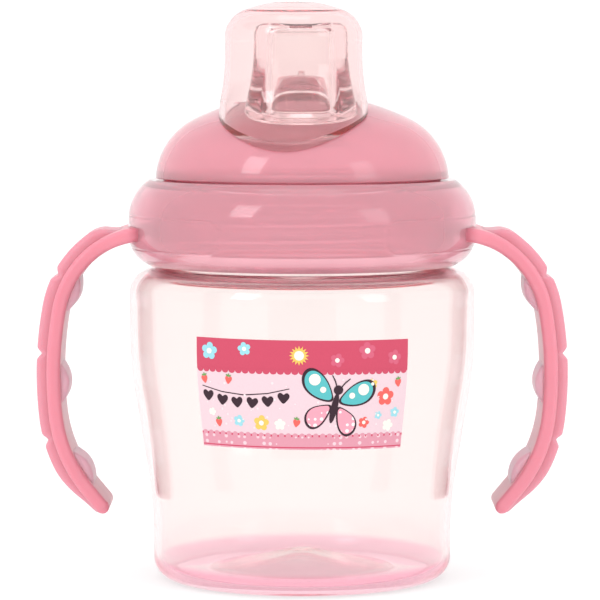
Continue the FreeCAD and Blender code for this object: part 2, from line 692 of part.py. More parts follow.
def oval_sketch(body, name, half_width, half_depth, height):
    """A slot-shaped section: round ends at +-X, straight sides."""
    flat = f"({half_width} - {half_depth})"
    sketch = new_sketch(body, name, "XY_Plane", height)
    bend = (half_depth, LEFT)
    return draw(sketch, [
        (f"0 - {flat}", f"0 - {half_depth}", None),
        (flat, f"0 - {half_depth}", bend),
        (half_width, "0", bend),
        (flat, half_depth, None),
        (f"0 - {flat}", half_depth, bend),
        (f"0 - {half_width}", "0", bend),
    ])


# Height, half width and half depth of the spout's outside and of its passage, from the skirt up.
SPOUT_OUTSIDE = [
    ("seat_low - hook_depth", "12.8", "11.8"),
    ("bore_top", "12.6", "11.6"),
    ("stem_top", "12.0", "10.0"),
    ("114.5", "10.9", "8.2"),
    ("118", "10.5", "6.9"),
    ("123.6", "10.4", "6.6"),
    ("spout_top", "9.6", "5.8"),
]
SPOUT_PASSAGE = [
    ("bore_top - 1", "7.2", "6.2"),
    ("stem_top", "7.0", "5.6"),
    ("114.5", "6.8", "4.9"),
    ("118", "6.7", "4.6"),
    ("spout_top - tip_skin", "6.5", "4.3"),
]


def loft(label, sections):
    body = doc.addObject("PartDesign::Body", label)
    sketches = [oval_sketch(body, f"{label}_{i}", w, d, z) for i, (z, w, d) in enumerate(sections)]
    doc.recompute()
    made = body.newObject("PartDesign::AdditiveLoft", label + "_loft")
    made.Profile = sketches[0]
    made.Sections = sketches[1:]
    made.Ruled = False
    body.setExpression("Placement.Base.x", s("spout_shift"))
    body.setExpression("Placement.Base.y", s("0 - spout_forward"))
    doc.recompute()
    return body


def slit_blade(label, length, top):
    """A thin blade that cuts a slit through a soft membrane under the spout's axis."""
    blade = doc.addObject("Part::Box", label)
    blade.setExpression("Length", s(length))
    blade.setExpression("Width", s("slit_width"))
    blade.setExpression("Height", s("margin * 2"))
    blade.setExpression("Placement.Base.x", s(f"spout_shift - {length} / 2"))
    blade.setExpression("Placement.Base.y", s("0 - spout_forward - slit_width / 2"))
    blade.setExpression("Placement.Base.z", s(f"{top} - margin"))
    return blade


def spout():
    """Soft spout: bell and tip above the dome, a stem through the boss with a hook below, a slit on top."""
    bell = without("spout_bell", loft("spout_outside", SPOUT_OUTSIDE), dome_core("spout_floor", "0 - snug"))
    hook_top = "seat_low - snug"
    bottom = f"{hook_top} - hook_depth"
    stem = cylinder("spout_stem", "stem_radius", bottom, "stem_top", *SPOUT_AXIS)
    hook = cylinder("spout_hook", "hook_radius", bottom, hook_top, *SPOUT_AXIS)
    bore = cylinder("spout_bore", "stem_bore", f"{bottom} - margin", "bore_top", *SPOUT_AXIS)
    passage = loft("spout_passage", SPOUT_PASSAGE)
    slit = slit_blade("spout_slit", "slit_length", "spout_top")
    return without("spout", joined("spout_blank", bell, stem, hook), passage, bore, slit)


def anti_spill_valve():
    """Silicone cup pressed in the spout's stem, with a slit membrane on top."""
    bottom = "seat_low - snug - hook_depth"
    cup = revolve("valve_cup", [
        ("0", "valve_top", None),
        ("stem_bore - snug / 2", "valve_top", None),
        ("stem_bore - snug / 2", bottom, None),
        ("stem_bore - valve_wall", bottom, None),
        ("stem_bore - valve_wall", "valve_top - valve_skin", None),
        ("0", "valve_top - valve_skin", None),
    ])
    cup.setExpression("Placement.Base.x", s("spout_shift"))
    cup.setExpression("Placement.Base.y", s("0 - spout_forward"))
    return without("anti_spill_valve", cup, slit_blade("valve_blade", "valve_slit", "valve_top"))


def seal_ring():
    """Flat seal on the beaker's rim with a lip that plugs into the neck."""
    edge = "snap_radius - play"
    return revolve("seal_ring", [
        ("seal_lip_inner", "snap_low", None),
        (edge, "snap_low", None),
        (edge, "rim_height", None),
        ("seal_lip_outer", "rim_height", None),
        ("seal_lip_outer", "seal_lip_low", None),
        ("seal_lip_inner + seal_lead", "seal_lip_low", None),
        ("seal_lip_inner", "seal_lip_low + seal_lead", None),
    ])


# ---------------------------------------------------------------- hood
def hood():
    """Clear hood: flared skirt, upright sides and a rounded top. Its rim is cut to the dome's shape."""
    inner = "hood_high_radius - hood_wall"
    corner = "hood_high_radius - hood_corner_in"
    outline = [
        ("0", "hood_top", None),
        ("hood_crown_flat", "hood_top - hood_crown_fall", ("hood_crown_round", RIGHT)),
        (corner, "hood_top - hood_corner_fall", ("hood_corner_round", RIGHT)),
        ("hood_high_radius", "hood_high", None),
        ("hood_high_radius", "hood_waist", ("hood_flare", LEFT)),
        ("hood_mid_radius", "hood_middle", None),
        ("hood_low_radius", "hood_foot", None),
        ("hood_low_radius - hood_wall", "hood_foot", None),
        ("hood_mid_radius - hood_wall", "hood_middle", ("hood_flare + hood_wall", RIGHT)),
        (inner, "hood_waist", None),
        (inner, "hood_high", ("hood_corner_round - hood_wall", LEFT)),
        (corner, "hood_top - hood_corner_fall - hood_wall", ("hood_crown_round - hood_wall", LEFT)),
        ("hood_crown_flat", "hood_top - hood_crown_fall - hood_wall", None),
        ("0", "hood_top - hood_wall", None),
    ]
    blank = revolve("hood_blank", outline)
    blank.Placement.Rotation = FreeCAD.Rotation(FreeCAD.Vector(0, 0, 1), 90)
    blank.setExpression("Placement.Base.x", s("hood_shift"))
    blank.setExpression("Placement.Base.y", s("0 - hood_forward"))
    return without("hood", blank, dome_core("hood_floor", "0 - hood_gap"))


# ---------------------------------------------------------------- print
def print_film():
    """Printed film on the front of the beaker, following the belly and the taper."""
    lean = "(taper_high_radius - taper_low_radius) / (taper_high - taper_low)"
    low_radius = f"taper_low_radius + (print_low - taper_low) * {lean}"
    film = revolve("print_film", [
        ("belly_radius", "print_high", None),
        ("belly_radius + print_skin", "print_high", None),
        ("belly_radius + print_skin", "belly_low", ("belly_round + print_skin", RIGHT)),
        ("taper_high_radius + print_skin", "taper_high", None),
        (f"{low_radius} + print_skin", "print_low", None),
        (low_radius, "print_low", None),
        ("taper_high_radius", "taper_high", ("belly_round", LEFT)),
        ("belly_radius", "belly_low", None),
    ], "print_angle")
    to_front = FreeCAD.Rotation(FreeCAD.Vector(0, 0, 1), -90)
    film.Placement = FreeCAD.Placement(FreeCAD.Vector(0, 0, 0), to_front)
    return film


def check(parts):
    """Stops if any object failed or any part is not a sound solid."""
    for thing in doc.Objects:
        if "Invalid" in thing.State or "Error" in thing.State:
            raise RuntimeError(f"{thing.Name} failed: {thing.State}")
    for part in parts:
        shape = part.Shape
        if shape.isNull() or not shape.isValid() or shape.Volume <= 0 or not shape.Solids:
            raise RuntimeError(f"{part.Label} is not a sound solid")
        box = shape.BoundBox
        print(f"{part.Label:18s} solids {len(shape.Solids)} volume {shape.Volume:9.1f} "
              f"z {box.ZMin:6.1f} to {box.ZMax:6.1f} x {box.XMin:6.1f} to {box.XMax:6.1f}")


def main():
    parts = [beaker(), print_film(), seal_ring(), screw_ring(), *handles(), dome()]
    parts += [spout(), anti_spill_valve(), vent_valve(), hood()]
    doc.recompute()
    check(parts)
    os.makedirs("parts", exist_ok=True)
    for part in parts:
        part.Shape.exportStep(f"parts/{part.Label}.step")


main()
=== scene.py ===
"""Looks of the two-handled training cup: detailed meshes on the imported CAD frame, translucent plastics, soft
silicone parts, a printed panel, and plain studio light. Lengths in the helpers are millimetres."""

import math
import random

import bmesh
import bpy
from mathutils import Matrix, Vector


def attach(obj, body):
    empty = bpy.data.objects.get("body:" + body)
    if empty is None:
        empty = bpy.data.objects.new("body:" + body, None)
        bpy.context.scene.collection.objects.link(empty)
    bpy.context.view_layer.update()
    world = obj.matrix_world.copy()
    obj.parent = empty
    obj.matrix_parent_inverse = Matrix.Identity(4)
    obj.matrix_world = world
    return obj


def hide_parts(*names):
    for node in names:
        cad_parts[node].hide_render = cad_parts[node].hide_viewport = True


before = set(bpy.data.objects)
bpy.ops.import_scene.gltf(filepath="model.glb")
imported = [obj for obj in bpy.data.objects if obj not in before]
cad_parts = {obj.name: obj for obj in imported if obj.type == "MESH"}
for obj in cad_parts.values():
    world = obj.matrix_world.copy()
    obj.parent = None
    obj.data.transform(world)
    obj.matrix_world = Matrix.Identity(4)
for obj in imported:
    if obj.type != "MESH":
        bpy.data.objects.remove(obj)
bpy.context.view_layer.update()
MM = 0.001
HEEL_FADE = (4.0, 5.8)
LEFT, RIGHT = 1, -1


# ---------------------------------------------------------------- outlines
def arc_points(start, end, radius, side, step):
    """Points on the arc from start to end, end left out; its centre lies LEFT or RIGHT of the way."""
    dx, dz = end[0] - start[0], end[1] - start[1]
    chord = math.hypot(dx, dz)
    reach = math.sqrt(max(radius * radius - chord * chord / 4, 0.0))
    cx = (start[0] + end[0]) / 2 - side * dz / chord * reach
    cz = (start[1] + end[1]) / 2 + side * dx / chord * reach
    a = math.atan2(start[1] - cz, start[0] - cx)
    b = math.atan2(end[1] - cz, end[0] - cx)
    while side * (b - a) < 0:
        b += side * 2 * math.pi
    count = max(2, round(abs(b - a) * radius / step))
    return [(cx + radius * math.cos(a + (b - a) * i / count), cz + radius * math.sin(a + (b - a) * i / count))
            for i in range(count)]


def outline(rows, step=0.8):
    """Closed list of points from (across, up, bend) rows; bend is None or (radius, LEFT or RIGHT)."""
    points = []
    for i, (x, z, bend) in enumerate(rows):
        after = rows[(i + 1) % len(rows)]
        if bend is None:
            points.append((x, z))
        else:
            points += arc_points((x, z), (after[0], after[1]), bend[0], bend[1], step)
    return points


def rounded(points, radius, sharp=20.0):
    """The closed outline with its corners sharper than an angle rounded."""
    out = []
    count = len(points)
    for i, corner in enumerate(points):
        before, after = Vector(points[i - 1]), Vector(points[(i + 1) % count])
        here = Vector(corner)
        back, on = before - here, after - here
        if corner[0] < 1e-6 or back.length < 1e-6 or on.length < 1e-6:
            out.append(corner)
            continue
        turn = math.pi - back.angle(on)
        if math.degrees(turn) < sharp:
            out.append(corner)
            continue
        reach = min(radius * math.tan(turn / 2), back.length * 0.48, on.length * 0.48)
        a, b = here + back.normalized() * reach, here + on.normalized() * reach
        for k in range(6):
            t = k / 5
            p = a * (1 - t) ** 2 + here * 2 * t * (1 - t) + b * t ** 2
            out.append((p.x, p.y))
    return out


def refined(points, longest):
    """The closed outline with extra points on its long edges."""
    out = []
    for i, (x, z) in enumerate(points):
        nx, nz = points[(i + 1) % len(points)]
        pieces = max(1, math.ceil(math.hypot(nx - x, nz - z) / longest))
        out += [(x + (nx - x) * k / pieces, z + (nz - z) * k / pieces) for k in range(pieces)]
    return out


def smoothstep(low, high, value):
    t = min(max((value - low) / (high - low), 0.0), 1.0)
    return t * t * (3 - 2 * t)


# ---------------------------------------------------------------- meshes
def finish_mesh(name, bm, body, replaced, material):
    """Turns a bmesh in millimetres into a piece that rides on a body."""
    bmesh.ops.remove_doubles(bm, verts=bm.verts, dist=1e-4)
    bmesh.ops.recalc_face_normals(bm, faces=bm.faces)
    bmesh.ops.scale(bm, vec=(MM, MM, MM), verts=bm.verts)
    mesh = bpy.data.meshes.new(name)
    bm.to_mesh(mesh)
    bm.free()
    mesh.polygons.foreach_set("use_smooth", [True] * len(mesh.polygons))
    piece = bpy.data.objects.new(name, mesh)
    bpy.context.scene.collection.objects.link(piece)
    piece.data.materials.append(material)
    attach(piece, body)
    if replaced:
        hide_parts(*replaced)


def grid_faces(bm, rings, close_rings=True):
    """Quads over closed rings of vertices; close_rings also joins the last ring to the first."""
    rows, columns = len(rings), len(rings[0])
    for i in range(rows if close_rings else rows - 1):
        for j in range(columns):
            a, b = rings[i][j], rings[i][(j + 1) % columns]
            c, d = rings[(i + 1) % rows][(j + 1) % columns], rings[(i + 1) % rows][j]
            bm.faces.new((a, b, c, d))


def lathe(profile, segments, shape=None, centre=(0.0, 0.0)):
    """A closed outline turned about an upright axis; shape(angle, r, z) may move each point."""
    bm = bmesh.new()
    rings = []
    for s in range(segments):
        angle = 2 * math.pi * s / segments
        ring = []
        for r, z in profile:
            if shape is not None and r > 1e-6:
                r, z = shape(angle, r, z)
            ring.append(bm.verts.new((centre[0] + r * math.cos(angle), centre[1] + r * math.sin(angle), z)))
        rings.append(ring)
    grid_faces(bm, rings)
    bmesh.ops.remove_doubles(bm, verts=bm.verts, dist=1e-4)
    bmesh.ops.dissolve_degenerate(bm, edges=bm.edges, dist=1e-5)
    return bm


# ---------------------------------------------------------------- materials
def node_material(name):
    material = bpy.data.materials.new(name)
    material.use_nodes = True
    tree = material.node_tree
    return material, tree, tree.nodes["Principled BSDF"]


def noise(tree, scale, detail=2.0):
    """Object-space noise."""
    place = tree.nodes.new("ShaderNodeTexCoord")
    texture = tree.nodes.new("ShaderNodeTexNoise")
    texture.inputs["Scale"].default_value = scale
    texture.inputs["Detail"].default_value = detail
    tree.links.new(place.outputs["Object"], texture.inputs["Vector"])
    return texture.outputs["Fac"]


def spread(tree, factor, low, high):
    """A number between low and high that follows a factor."""
    ranged = tree.nodes.new("ShaderNodeMapRange")
    ranged.inputs["To Min"].default_value = low
    ranged.inputs["To Max"].default_value = high
    tree.links.new(factor, ranged.inputs["Value"])
    return ranged.outputs["Result"]


def tinted(tree, factor, colour_a, colour_b):
    """A colour between two colours that follows a factor."""
    mix = tree.nodes.new("ShaderNodeMix")
    mix.data_type = "RGBA"
    mix.inputs[6].default_value = (*colour_a, 1)
    mix.inputs[7].default_value = (*colour_b, 1)
    tree.links.new(factor, mix.inputs[0])
    return mix.outputs[2]


def bump(tree, shader, height, strength, distance):
    node = tree.nodes.new("ShaderNodeBump")
    node.inputs["Strength"].default_value = strength
    node.inputs["Distance"].default_value = distance
    tree.links.new(height, node.inputs["Height"])
    tree.links.new(node.outputs["Normal"], shader.inputs["Normal"])


def lighter(colour, amount):
    return tuple(min(1.0, c * (1 + amount)) for c in colour)


def by_height(tree, low, high):
    """A factor that falls from 1 to 0 between two heights of the object."""
    place = tree.nodes.new("ShaderNodeTexCoord")
    split = tree.nodes.new("ShaderNodeSeparateXYZ")
    ranged = tree.nodes.new("ShaderNodeMapRange")
    ranged.interpolation_type = "SMOOTHSTEP"
    ranged.inputs["From Min"].default_value = low * MM
    ranged.inputs["From Max"].default_value = high * MM
    ranged.inputs["To Min"].default_value = 1.0
    ranged.inputs["To Max"].default_value = 0.0
    tree.links.new(place.outputs["Object"], split.inputs["Vector"])
    tree.links.new(split.outputs["Z"], ranged.inputs["Value"])
    return ranged.outputs["Result"]


def plastic(name, colour, clear, rough, absorb=None, density=0.0, ior=1.49, waviness=0.03, soft=0.0, heel=None):
    """Moulded plastic or silicone: slight mottling in colour and gloss, faint mould waviness, for clear ones a
    tint that grows with depth, and a deeper tint in a thick heel."""
    material, tree, shader = node_material(name)
    cloud = noise(tree, 55.0)
    base = tinted(tree, cloud, colour, lighter(colour, 0.02))
    if heel is not None:
        mix = tree.nodes.new("ShaderNodeMix")
        mix.data_type = "RGBA"
        mix.inputs[7].default_value = (*heel, 1)
        tree.links.new(by_height(tree, *HEEL_FADE), mix.inputs[0])
        tree.links.new(base, mix.inputs[6])
        base = mix.outputs[2]
    tree.links.new(base, shader.inputs["Base Color"])
    tree.links.new(spread(tree, noise(tree, 240.0), rough * 0.85, rough * 1.2), shader.inputs["Roughness"])
    bump(tree, shader, noise(tree, 160.0, 4.0), waviness, 0.0004)
    shader.inputs["Transmission Weight"].default_value = clear
    shader.inputs["IOR"].default_value = ior
    if soft:
        shader.inputs["Subsurface Weight"].default_value = soft
        shader.inputs["Subsurface Radius"].default_value = (0.006, 0.003, 0.0035)
        shader.inputs["Subsurface Scale"].default_value = 1.0
    if absorb is not None:
        volume = tree.nodes.new("ShaderNodeVolumeAbsorption")
        volume.inputs["Color"].default_value = (*absorb, 1)
        volume.inputs["Density"].default_value = density
        tree.links.new(volume.outputs["Volume"], tree.nodes["Material Output"].inputs["Volume"])
    return material


def ink(name, colour, dots=None):
    """Printed ink with a fine screen grain, or with pale dots."""
    material, tree, shader = node_material(name)
    grain = noise(tree, 2600.0, 3.0)
    base = tinted(tree, grain, lighter(colour, -0.04), lighter(colour, 0.04))
    if dots is not None:
        place = tree.nodes.new("ShaderNodeTexCoord")
        cells = tree.nodes.new("ShaderNodeTexVoronoi")
        cells.inputs["Scale"].default_value = 720.0
        cells.inputs["Randomness"].default_value = 0.0
        tree.links.new(place.outputs["Object"], cells.inputs["Vector"])
        inside = tree.nodes.new("ShaderNodeMath")
        inside.operation = "LESS_THAN"
        inside.inputs[1].default_value = 0.3
        tree.links.new(cells.outputs["Distance"], inside.inputs[0])
        mix = tree.nodes.new("ShaderNodeMix")
        mix.data_type = "RGBA"
        mix.inputs[7].default_value = (*dots, 1)
        tree.links.new(inside.outputs[0], mix.inputs[0])
        tree.links.new(base, mix.inputs[6])
        base = mix.outputs[2]
    tree.links.new(base, shader.inputs["Base Color"])
    tree.links.new(spread(tree, grain, 0.32, 0.42), shader.inputs["Roughness"])
    shader.inputs["Specular IOR Level"].default_value = 0.3
    return material


BODY_CLEAR = plastic("body_clear", (0.947, 0.937, 0.915), 0.985, 0.05, (0.99, 0.25, 0.38), 40.0,
                     heel=(1.0, 0.68, 0.77))
RING_PINK = plastic("ring_pink", (1.0, 0.58, 0.66), 0.70, 0.04, (1.0, 0.10, 0.25), 32.0)
DOME_PINK = plastic("dome_pink", (1.0, 0.53, 0.61), 0.64, 0.07, (1.0, 0.08, 0.22), 60.0)
HOOD_CLEAR = plastic("hood_clear", (0.975, 0.955, 0.94), 0.985, 0.05, (0.93, 0.26, 0.32), 115.0)
SPOUT_SOFT = plastic("spout_soft", (1.0, 0.985, 0.975), 0.97, 0.06, (0.97, 0.60, 0.64), 25.0, ior=1.41)
VALVE_SOFT = plastic("valve_soft", (1.0, 0.97, 0.96), 0.97, 0.08, (0.98, 0.60, 0.62), 25.0, ior=1.41)
HANDLE_PINK = plastic("handle_pink", (0.77, 0.25, 0.315), 0.0, 0.30, soft=0.35)
GRIP_PINK = plastic("grip_pink", (0.72, 0.27, 0.335), 0.0, 0.36, soft=0.35)
# Finger bumps: their own paler mauve, made lighter still as painted light that cancels the shade they get under the
# strap.
BUMP_MAUVE_PAINTED_LIGHT = plastic("bump_mauve_painted_light", (1.0, 0.50, 0.59), 0.0, 0.36, soft=0.5)

# ---------------------------------------------------------------- beaker
WALL = 1.6
RIM, SHOULDER = 86.4, 71.0
NECK_R, BELLY_R, FOOT_R = 31.9, 39.3, 33.95
PITCH, THREAD_START, THREAD_DEPTH, THREAD_TURNS = 3.5, 75.35, 1.2, 2.0
THREAD_FADE = 0.03  # share of a turn over which a thread starts and ends
CREST_HALF, ROOT_HALF = 0.3, 0.85
FOOT_ROUND, SHOULDER_ROUND = 5.0, 6.0
BELLY_LOW, BELLY_ROUND = 56.0, 79.0
TAPER_HIGH, TAPER_HIGH_R, TAPER_LOW, TAPER_LOW_R, WAIST_ROUND = 44.05, 38.39, 25.0, 35.3, 95.0


def thread_height(angle, z, start, turns):
    """How much of its full height a right-hand thread has at an angle and height: 0 off it, 1 on its crest."""
    best = 0.0
    for lap in range(-1, int(turns) + 2):
        along = angle / (2 * math.pi) + lap
        if -THREAD_FADE <= along <= turns + THREAD_FADE:
            fade = smoothstep(-THREAD_FADE, THREAD_FADE, along) * (
                1 - smoothstep(turns - THREAD_FADE, turns + THREAD_FADE, along))
            away = abs(z - start - PITCH * along)
            best = max(best, fade * (1 - smoothstep(CREST_HALF, ROOT_HALF, away)))
    return best


def beaker_points():
    rows = [
        (NECK_R - WALL, RIM, None), (NECK_R, RIM, None), (NECK_R, SHOULDER, None),
        (BELLY_R - SHOULDER_ROUND, SHOULDER, (SHOULDER_ROUND, RIGHT)),
        (BELLY_R, SHOULDER - SHOULDER_ROUND, None), (BELLY_R, BELLY_LOW, (BELLY_ROUND, RIGHT)),
        (TAPER_HIGH_R, TAPER_HIGH, None), (TAPER_LOW_R, TAPER_LOW, (WAIST_ROUND, LEFT)), (FOOT_R, 10.5, None),
        (FOOT_R, FOOT_ROUND, (FOOT_ROUND, RIGHT)), (FOOT_R - FOOT_ROUND, 0.0, None), (21.0, 0.0, None),
        (18.0, 0.9, None), (2.0, 4.6, None), (0.0, 4.75, None), (0.0, 6.65, None), (2.6, 6.5, None),
        (19.0, 2.6, None), (FOOT_R - FOOT_ROUND, 1.9, (3.4, LEFT)),
        (FOOT_R - WALL, 5.3, None), (FOOT_R - WALL, 10.5, (96.6, RIGHT)), (33.7, 25.25, None),
        (36.79, 43.8, (77.4, LEFT)), (BELLY_R - WALL, BELLY_LOW, None),
        (BELLY_R - WALL, SHOULDER - SHOULDER_ROUND, (4.4, LEFT)),
        (BELLY_R - SHOULDER_ROUND, SHOULDER - WALL, None), (NECK_R - WALL, SHOULDER - WALL, None),
    ]
    return refined(rounded(outline(rows), 0.5), 0.9)


def neck_rows(points):
    """Extra rows on the neck's outside, where the thread stands out."""
    out = []
    for i, (r, z) in enumerate(points):
        nr, nz = points[(i + 1) % len(points)]
        out.append((r, z))
        if abs(r - NECK_R) < 0.01 and abs(nr - NECK_R) < 0.01:
            count = max(1, math.ceil(abs(nz - z) / 0.18))
            out += [(r, z + (nz - z) * k / count) for k in range(1, count)]
    return out


def beaker_shape(angle, r, z):
    if abs(r - NECK_R) < 0.01 and THREAD_START - 2 < z < RIM - 1:
        r += THREAD_DEPTH * thread_height(angle, z, THREAD_START, THREAD_TURNS)
    return r, z


finish_mesh("beaker", lathe(neck_rows(beaker_points()), 256, beaker_shape), "cup", ["cup_body"],
            BODY_CLEAR)

# ---------------------------------------------------------------- screw ring
RING_R, RING_LOW, RING_TOP = 39.5, 71.6, 90.9
FLAT_LOW, FLAT_HIGH = 78.5, 82.0
TOP_ROUND, LOW_ROUND = 10.8, 7.5
RING_WALL, BORE_R, BORE_WALL = 1.7, 33.6, 1.1
LIP_R, LIP_LOW = 31.6, 89.1
SADDLE_LOW, SADDLE_HIGH, SADDLE_END, SADDLE_ROUND = 75.6, 83.0, 18.2, 3.0
SEAM_DEPTH, SEAM_WIDTH = 0.12, 0.16
SKIRT_LOW = 75.0


def ring_radius(z):
    """Outside radius of the ring at a height."""
    if z > FLAT_HIGH:
        return RING_R - TOP_ROUND + math.sqrt(max(TOP_ROUND ** 2 - (z - FLAT_HIGH) ** 2, 0.0))
    if z < FLAT_LOW:
        return RING_R - LOW_ROUND + math.sqrt(max(LOW_ROUND ** 2 - (FLAT_LOW - z) ** 2, 0.0))
    return RING_R


def saddle_inset(x, z):
    """How far a point is inside a saddle's rounded outline, seen from the front; negative outside."""
    dx = SADDLE_END + SADDLE_ROUND - abs(x)
    dz = abs(z - (SADDLE_LOW + SADDLE_HIGH) / 2) - ((SADDLE_HIGH - SADDLE_LOW) / 2 - SADDLE_ROUND)
    if max(dx, dz) > 0:
        return SADDLE_ROUND - math.hypot(max(dx, 0.0), max(dz, 0.0))
    return SADDLE_ROUND - max(dx, dz)


def ring_points():
    skirt = BORE_R + BORE_WALL
    core_top = FLAT_HIGH + math.sqrt((TOP_ROUND - RING_WALL) ** 2 - (skirt + 0.3 - RING_R + TOP_ROUND) ** 2)
    lip_top = FLAT_LOW - math.sqrt((LOW_ROUND - RING_WALL) ** 2 - (BORE_R + 0.3 - RING_R + LOW_ROUND) ** 2)
    rows = [
        (LIP_R, RING_TOP, None), (ring_radius(RING_TOP), RING_TOP, (TOP_ROUND, RIGHT)), (RING_R, FLAT_HIGH, None),
        (RING_R, FLAT_LOW, (LOW_ROUND, RIGHT)), (ring_radius(RING_LOW), RING_LOW, None), (BORE_R, RING_LOW, None),
        (BORE_R, lip_top - 0.3, None), (BORE_R + 0.3, lip_top, (LOW_ROUND - RING_WALL, LEFT)),
        (RING_R - RING_WALL, FLAT_LOW, None), (RING_R - RING_WALL, FLAT_HIGH, (TOP_ROUND - RING_WALL, LEFT)),
        (skirt + 0.3, core_top, None), (skirt, core_top - 0.3, None), (skirt, SKIRT_LOW, None),
        (BORE_R, SKIRT_LOW, None),
        (BORE_R, LIP_LOW, None), (LIP_R, LIP_LOW, None),
    ]
    return refined(rounded(outline(rows, 0.3), 0.35), 0.22)


def ring_shape(angle, r, z):
    """Internal thread on the bore and a fine seam round each handle's saddle on the outside."""
    if abs(r - BORE_R) < 0.01 and SKIRT_LOW + 0.5 < z < LIP_LOW - 0.5:
        return r - THREAD_DEPTH * thread_height(angle, z, THREAD_START + PITCH / 2, THREAD_TURNS), z
    if abs(r - ring_radius(z)) < 0.05 and RING_LOW + 1 < z < RING_TOP - 1:
        r -= SEAM_DEPTH * math.exp(-(saddle_inset(r * math.cos(angle), z) / SEAM_WIDTH) ** 2)
    return r, z


finish_mesh("screw_collar", lathe(ring_points(), 480, ring_shape), "ring", ["screw_ring"], RING_PINK)

# ---------------------------------------------------------------- dome
DOME_TOP, CROWN_R, BREAK, CORNER_R, DOME_LOW, DOME_WALL = 110.4, 55.0, 24.5, 16.0, 91.2, 1.6
PLUG_R, PLUG_INNER, SNAP_R, SNAP_HIGH, SNAP_LOW = 31.3, 29.4, 32.3, 88.8, 87.4
SPOUT_X, SPOUT_Y = -0.3, -14.5
HOLE_R, HOLE_FLOOR = 9.5, 99.0
CROWN_Z = DOME_TOP - CROWN_R
CORNER_C = (BREAK * (1 - CORNER_R / CROWN_R),
            CROWN_Z + math.sqrt(CROWN_R ** 2 - BREAK ** 2) * (1 - CORNER_R / CROWN_R))


def dome_z(r, grow=0.0):
    """Height of the dome's outside, grown by an amount, at a distance from the axis."""
    if r < BREAK * (CROWN_R + grow) / CROWN_R:
        return CROWN_Z + math.sqrt((CROWN_R + grow) ** 2 - r * r)
    return CORNER_C[1] + math.sqrt(max((CORNER_R + grow) ** 2 - (r - CORNER_C[0]) ** 2, 0.0))


def dome_side_r(z, under):
    return CORNER_C[0] + math.sqrt((CORNER_R - under) ** 2 - (z - CORNER_C[1]) ** 2)


def dome_points():
    inner = (CROWN_R - DOME_WALL) / CROWN_R
    rows = [
        (0.0, DOME_TOP, (CROWN_R, RIGHT)), (BREAK, dome_z(BREAK), (CORNER_R, RIGHT)),
        (dome_side_r(DOME_LOW, 0.0), DOME_LOW, None), (PLUG_R, DOME_LOW, None), (PLUG_R, SNAP_HIGH, None),
        (SNAP_R, SNAP_HIGH, None), (SNAP_R, SNAP_LOW, None), (PLUG_INNER, SNAP_LOW, None),
        (PLUG_INNER, DOME_LOW - 0.3, None),
        (dome_side_r(DOME_LOW + 1.5, DOME_WALL), DOME_LOW + 1.5, (CORNER_R - DOME_WALL, LEFT)),
        (BREAK * inner, CROWN_Z + math.sqrt((CROWN_R - DOME_WALL) ** 2 - (BREAK * inner) ** 2),
         (CROWN_R - DOME_WALL, LEFT)),
        (0.0, DOME_TOP - DOME_WALL, None),
    ]
    return refined(rounded(outline(rows, 0.7), 0.35), 0.9)


def stitch(bm, upper, lower, bearing):
    """Triangles between two rings of vertices, each ordered by its bearing round the same centre."""
    upper, lower = sorted(upper, key=bearing), sorted(lower, key=bearing)
    i = j = 0
    while i < len(upper) or j < len(lower):
        a, b = upper[i % len(upper)], lower[j % len(lower)]
        next_a, next_b = upper[(i + 1) % len(upper)], lower[(j + 1) % len(lower)]
        if j >= len(lower) or (i < len(upper) - 1 and bearing(next_a) <= bearing(next_b)):
            bm.faces.new((a, b, next_a))
            i += 1
        else:
            bm.faces.new((a, b, next_b))
            j += 1


def dome_mesh():
    """The dome with the round hole for the spout's stem."""
    bm = lathe(dome_points(), 256)
    holed = [f for f in bm.faces
             if all(v.co.z > HOLE_FLOOR and math.hypot(v.co.x - SPOUT_X, v.co.y - SPOUT_Y) < HOLE_R for v in f.verts)]
    bmesh.ops.delete(bm, geom=holed, context="FACES")
    upper, lower = [], []
    for vertex in {v for e in bm.edges if e.is_boundary for v in e.verts}:
        before = math.hypot(vertex.co.x, vertex.co.y)
        (upper if vertex.co.z > dome_z(before) - DOME_WALL / 2 else lower).append(vertex)
        away = Vector((vertex.co.x - SPOUT_X, vertex.co.y - SPOUT_Y)).normalized() * HOLE_R
        vertex.co.x, vertex.co.y = SPOUT_X + away.x, SPOUT_Y + away.y
        vertex.co.z += dome_z(math.hypot(vertex.co.x, vertex.co.y)) - dome_z(before)
    stitch(bm, upper, lower, lambda v: math.atan2(v.co.y - SPOUT_Y, v.co.x - SPOUT_X))
    return bm


finish_mesh("dome", dome_mesh(), "lid", ["dome_lid"], DOME_PINK)

# ---------------------------------------------------------------- spout
# Height, half width and half depth of the spout, from under the dome up to the tip.
SPOUT_OUTER = [(98.65, 11.2, 11.2), (99.9, 11.2, 11.2), (100.0, 9.3, 9.3), (106.0, 9.3, 9.3), (108.6, 12.6, 11.6),
               (110.5, 12.05, 10.1), (112.5, 11.4, 9.0), (114.5, 10.95, 8.1), (118.0, 10.55, 7.0),
               (121.0, 10.45, 6.7), (124.2, 10.4, 6.5), (125.6, 9.9, 6.1), (126.3, 8.9, 5.3)]
SPOUT_INNER = [(98.65, 7.6, 7.6), (105.6, 7.6, 7.6), (106.4, 7.2, 6.6), (111.0, 7.0, 5.6), (114.5, 6.8, 4.9),
               (118.0, 6.7, 4.6), (124.0, 6.6, 4.4), (124.7, 6.0, 3.9)]


FLARE_LOW, FLARE_EDGE, FLARE_HIGH = 106.0, 108.6, 114.0  # where the outside leaves, rests on and clears the dome
DISH, SLOT, WELL = (6.0, 3.0, 126.45), (2.4, 0.35, 125.6), (2.3, 0.25, 124.7)  # half width, half depth, height
SQUARENESS = 0.86


